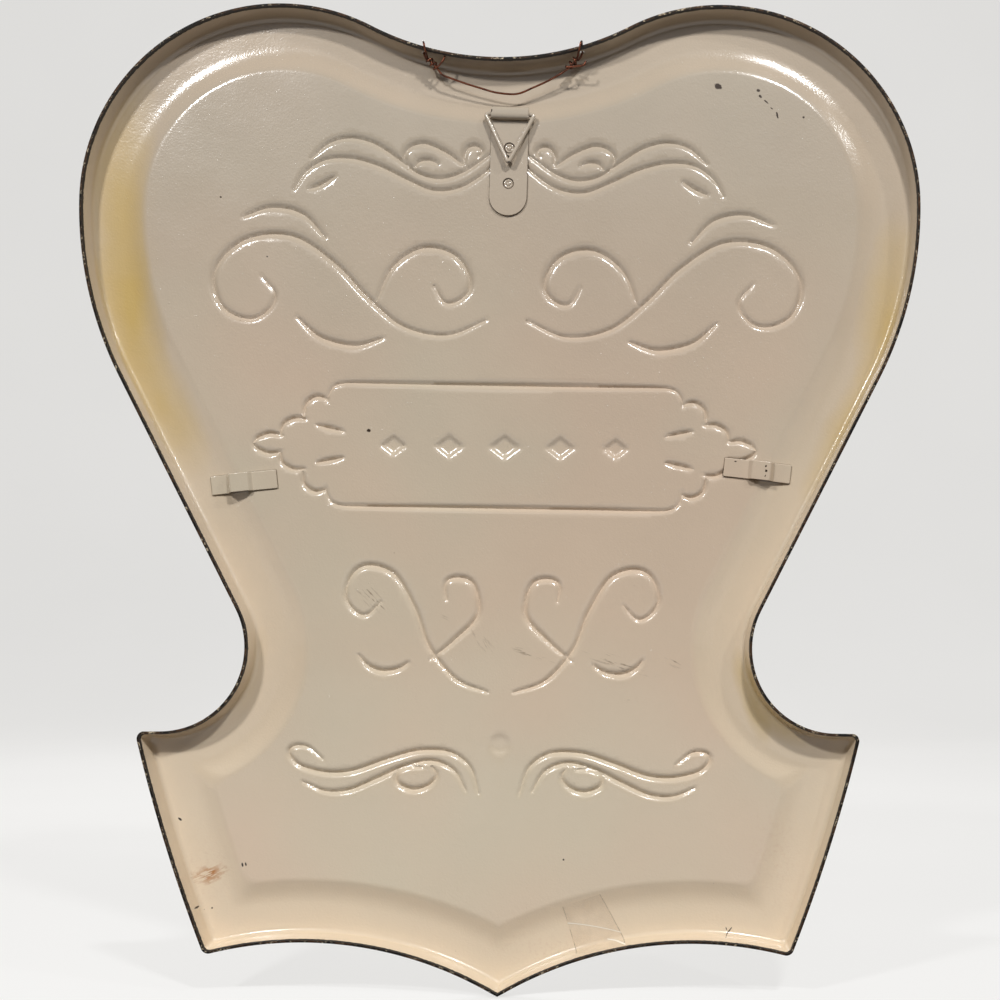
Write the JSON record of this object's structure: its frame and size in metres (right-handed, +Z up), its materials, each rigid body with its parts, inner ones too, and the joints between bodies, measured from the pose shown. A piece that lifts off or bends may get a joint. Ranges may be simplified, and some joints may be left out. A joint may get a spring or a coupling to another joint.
{
  "type": "pressed metal wall sign",
  "caption": "Shield-shaped pressed steel wall sign with a rolled rim, raised embossed field, hanger strap with a swinging triangular ring, keeper straps and a twisted hanging wire.",
  "frame": {"origin": "centre of the hanger strap's rolled eye, on the ring's turning axis", "axes": "+Z up the sign as it hangs, +Y out of its open back, -Y out of its display face, +X to the right as the display face is seen"},
  "size_m": [0.4196, 0.0149, 0.4953],
  "materials": {
    "sheet_paint": "gloss",
    "fitting_paint": "gloss",
    "copper_wire": "satin"
  },
  "bodies": {
    "sign": {"sign_panel": "sheet_paint", "hanger_strap": "fitting_paint", "strap_welds": "fitting_paint", "keeper_left": "fitting_paint", "keeper_right": "fitting_paint", "hanging_wire": "copper_wire"},
    "ring": {"hanger_ring": "fitting_paint"}
  },
  "joints": [
    {"name": "ring_swing", "type": "hinge", "parent": "sign", "child": "ring", "pos_m": [0, 0, 0], "axis": [0.9997, 0, 0.0262], "range_deg": [-5.5, 159]}
  ]
}
